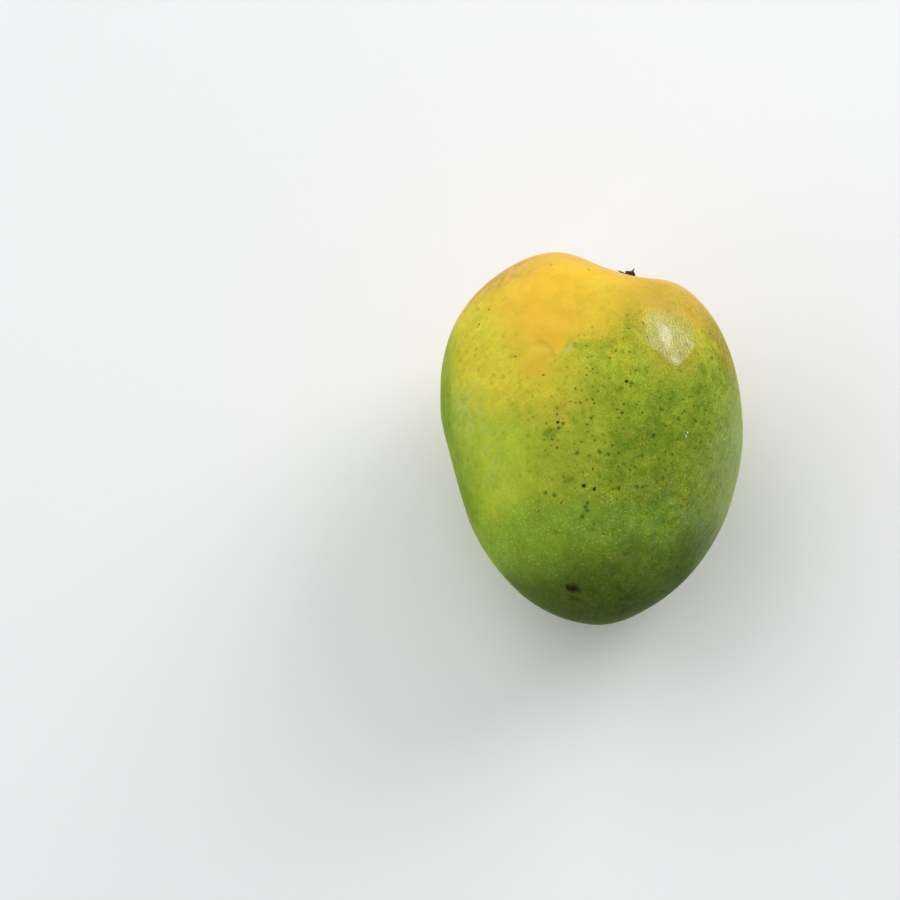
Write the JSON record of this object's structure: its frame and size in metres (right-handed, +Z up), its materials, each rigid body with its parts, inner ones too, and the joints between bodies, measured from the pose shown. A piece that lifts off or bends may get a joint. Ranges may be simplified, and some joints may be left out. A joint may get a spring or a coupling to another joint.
{
  "type": "mango",
  "caption": "Whole mango lying on one cheek, with two shoulders, a shallow stem basin, a short woody stalk stub and a blunt tip.",
  "frame": {"origin": "on the resting surface, under the middle of the bounding box", "axes": "+Y from the tip to the stem end, +X from the belly edge to the back edge, +Z up from the cheek it lies on"},
  "size_m": [0.0926, 0.1164, 0.0783],
  "materials": {
    "fruit_skin": "satin",
    "stalk_wood": "matte"
  },
  "bodies": {
    "root": {"mango_fruit": "fruit_skin", "stem_stub": "stalk_wood"}
  },
  "joints": []
}
